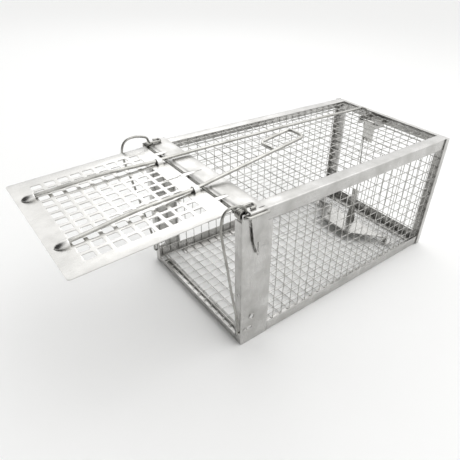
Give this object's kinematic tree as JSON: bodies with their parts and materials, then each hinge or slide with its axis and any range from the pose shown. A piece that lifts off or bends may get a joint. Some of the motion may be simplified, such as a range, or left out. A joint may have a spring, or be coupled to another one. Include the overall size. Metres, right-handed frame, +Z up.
{
  "type": "live catch trap",
  "caption": "Wire mesh live catch trap with a punched sheet door held open by a rod, a rocking catch and a floor treadle, and closed by wire springs.",
  "frame": {"origin": "on the underside of the front sill, in its middle", "axes": "+Y from the doorway to the back, +Z up, +X to the side of the setting rod"},
  "size_m": [0.145, 0.3448, 0.1345],
  "materials": {
    "mesh_wire": "bright galvanised wire",
    "folded_sheet": "bright galvanised sheet",
    "door_sheet": "bright galvanised sheet, punched",
    "rod_wire": "drawn and galvanised wire",
    "spring_wire": "darker hard-drawn spring wire",
    "trigger_sheet": "bright galvanised sheet"
  },
  "bodies": {
    "cage": {"floor_mesh": "mesh_wire", "roof_mesh": "mesh_wire", "side_mesh_right": "mesh_wire", "side_mesh_left": "mesh_wire", "back_mesh": "mesh_wire", "front_post_right": "folded_sheet", "front_post_left": "folded_sheet", "front_sill": "folded_sheet", "roof_front_strip": "folded_sheet", "roof_rail_right": "folded_sheet", "roof_rail_left": "folded_sheet", "floor_rail_right": "folded_sheet", "floor_rail_left": "folded_sheet", "back_post_right": "folded_sheet", "back_post_left": "folded_sheet", "back_top_rail": "folded_sheet", "back_floor_rail": "folded_sheet", "hinge_axle": "rod_wire", "door_spring_right": "spring_wire", "door_spring_left": "spring_wire", "treadle_axle": "rod_wire", "treadle_bracket_right": "trigger_sheet", "treadle_bracket_left": "trigger_sheet", "catch_axle": "rod_wire", "catch_bracket": "trigger_sheet"},
    "door": {"door_panel": "door_sheet", "trigger_rod": "rod_wire", "setting_rod": "rod_wire"},
    "treadle": {"treadle_plate": "trigger_sheet", "bait_hook": "rod_wire"},
    "catch": {"catch_plate": "trigger_sheet", "catch_hook": "rod_wire"},
    "link": {"link_wire": "rod_wire"}
  },
  "joints": [
    {"name": "door_swing", "type": "hinge", "parent": "cage", "child": "door", "pos_m": [0, -0.0027, 0.1177], "axis": [1, 0, 0], "range_deg": [0, 87]},
    {"name": "treadle_swing", "type": "hinge", "parent": "cage", "child": "treadle", "pos_m": [0, 0.202, 0.0052], "axis": [1, 0, 0], "range_deg": [0, 4]},
    {"name": "catch_swing", "type": "hinge", "parent": "cage", "child": "catch", "pos_m": [0, 0.2206, 0.111], "axis": [1, 0, 0], "range_deg": [-9.1, 0]},
    {"name": "link_swing", "type": "hinge", "parent": "catch", "child": "link", "pos_m": [-0.017, 0.22215, 0.093], "axis": [1, 0, 0], "range_deg": [0, 9.5]}
  ],
  "couplings": [
    {"joint": "catch_swing", "follows": "treadle_swing", "ratio": -2.239},
    {"joint": "link_swing", "follows": "treadle_swing", "ratio": 2.334}
  ]
}
